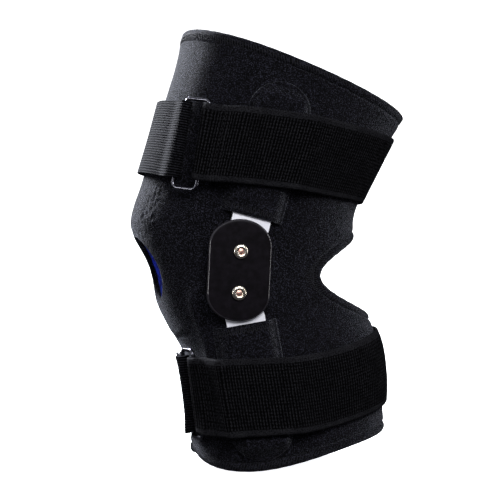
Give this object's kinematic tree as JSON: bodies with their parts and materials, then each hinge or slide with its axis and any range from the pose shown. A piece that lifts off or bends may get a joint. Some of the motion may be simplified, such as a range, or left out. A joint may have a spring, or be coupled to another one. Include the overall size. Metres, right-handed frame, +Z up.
{
  "type": "hinged knee brace",
  "caption": "Wrap-around knee brace: a neoprene sleeve with kneecap and popliteal openings, side hinges with geared bars in pockets, and elastic straps on wire rings.",
  "frame": {"origin": "centre of the knee, midway between the two pivots of the side hinges, on the leg's middle plane", "axes": "+Z up the leg at mid knee, along its length, -X to the front (kneecap), -Y to the lateral side"},
  "size_m": [0.1851, 0.1466, 0.2917],
  "materials": {
    "neoprene_black": "black loop-pile fabric laminated on neoprene foam, royal-blue jersey lining inside",
    "elastic_black": "black ribbed elastic webbing",
    "webbing_grey": "dark grey tightly woven webbing",
    "cover_black": "satin black moulded cover with a glossier rounded edge",
    "bar_grey": "pale grey satin aluminium bar",
    "rivet_brass": "polished pale brass rivet head",
    "bush_brass": "turned brass bush",
    "washer_nylon": "natural nylon washer",
    "ring_gunmetal": "dark nickel plated wire",
    "pad_foam": "soft foam covered with blue jersey"
  },
  "bodies": {
    "thigh": {"sleeve_thigh": "neoprene_black", "thigh_strap_elastic": "elastic_black", "thigh_strap_hook_tab": "webbing_grey", "lateral_upper_bar": "bar_grey", "lateral_upper_pocket": "neoprene_black", "medial_upper_bar": "bar_grey", "medial_upper_pocket": "neoprene_black"},
    "thigh_ring": {"thigh_ring": "ring_gunmetal"},
    "hinge": {"sleeve_knee": "neoprene_black", "patella_buttress": "pad_foam", "lateral_cover_plate": "cover_black", "lateral_back_plate": "bar_grey", "lateral_condyle_pad": "pad_foam", "lateral_upper_rivet": "rivet_brass", "lateral_upper_bush": "bush_brass", "lateral_upper_washer": "washer_nylon", "lateral_lower_rivet": "rivet_brass", "lateral_lower_bush": "bush_brass", "lateral_lower_washer": "washer_nylon", "medial_cover_plate": "cover_black", "medial_back_plate": "bar_grey", "medial_condyle_pad": "pad_foam", "medial_upper_rivet": "rivet_brass", "medial_upper_bush": "bush_brass", "medial_upper_washer": "washer_nylon", "medial_lower_rivet": "rivet_brass", "medial_lower_bush": "bush_brass", "medial_lower_washer": "washer_nylon"},
    "calf": {"sleeve_calf": "neoprene_black", "calf_strap_elastic": "elastic_black", "calf_strap_hook_tab": "webbing_grey", "lateral_lower_bar": "bar_grey", "lateral_lower_pocket": "neoprene_black", "medial_lower_bar": "bar_grey", "medial_lower_pocket": "neoprene_black"},
    "calf_ring": {"calf_ring": "ring_gunmetal"}
  },
  "joints": [
    {"name": "upper_pivot", "type": "hinge", "parent": "thigh", "child": "hinge", "pos_m": [0.00063, 0, 0.01328], "axis": [0, -1, 0], "range_deg": [-12, 22], "deforming": ["sleeve_knee"]},
    {"name": "lower_pivot", "type": "hinge", "parent": "hinge", "child": "calf", "pos_m": [-0.00063, 0, -0.01328], "axis": [0, -1, 0], "range_deg": [-12, 22], "deforming": ["sleeve_knee"]},
    {"name": "thigh_ring_swivel", "type": "hinge", "parent": "thigh", "child": "thigh_ring", "pos_m": [-0.02278, -0.05904, 0.08391], "axis": [0.1649, 0.0119, 0.9862], "range_deg": [-4, 2.5]},
    {"name": "calf_ring_swivel", "type": "hinge", "parent": "calf", "child": "calf_ring", "pos_m": [-0.02333, -0.03732, -0.08031], "axis": [-0.1291, -0.0296, 0.9912], "range_deg": [-2.5, 1.5]}
  ],
  "couplings": [
    {"joint": "lower_pivot", "follows": "upper_pivot", "ratio": 1}
  ]
}
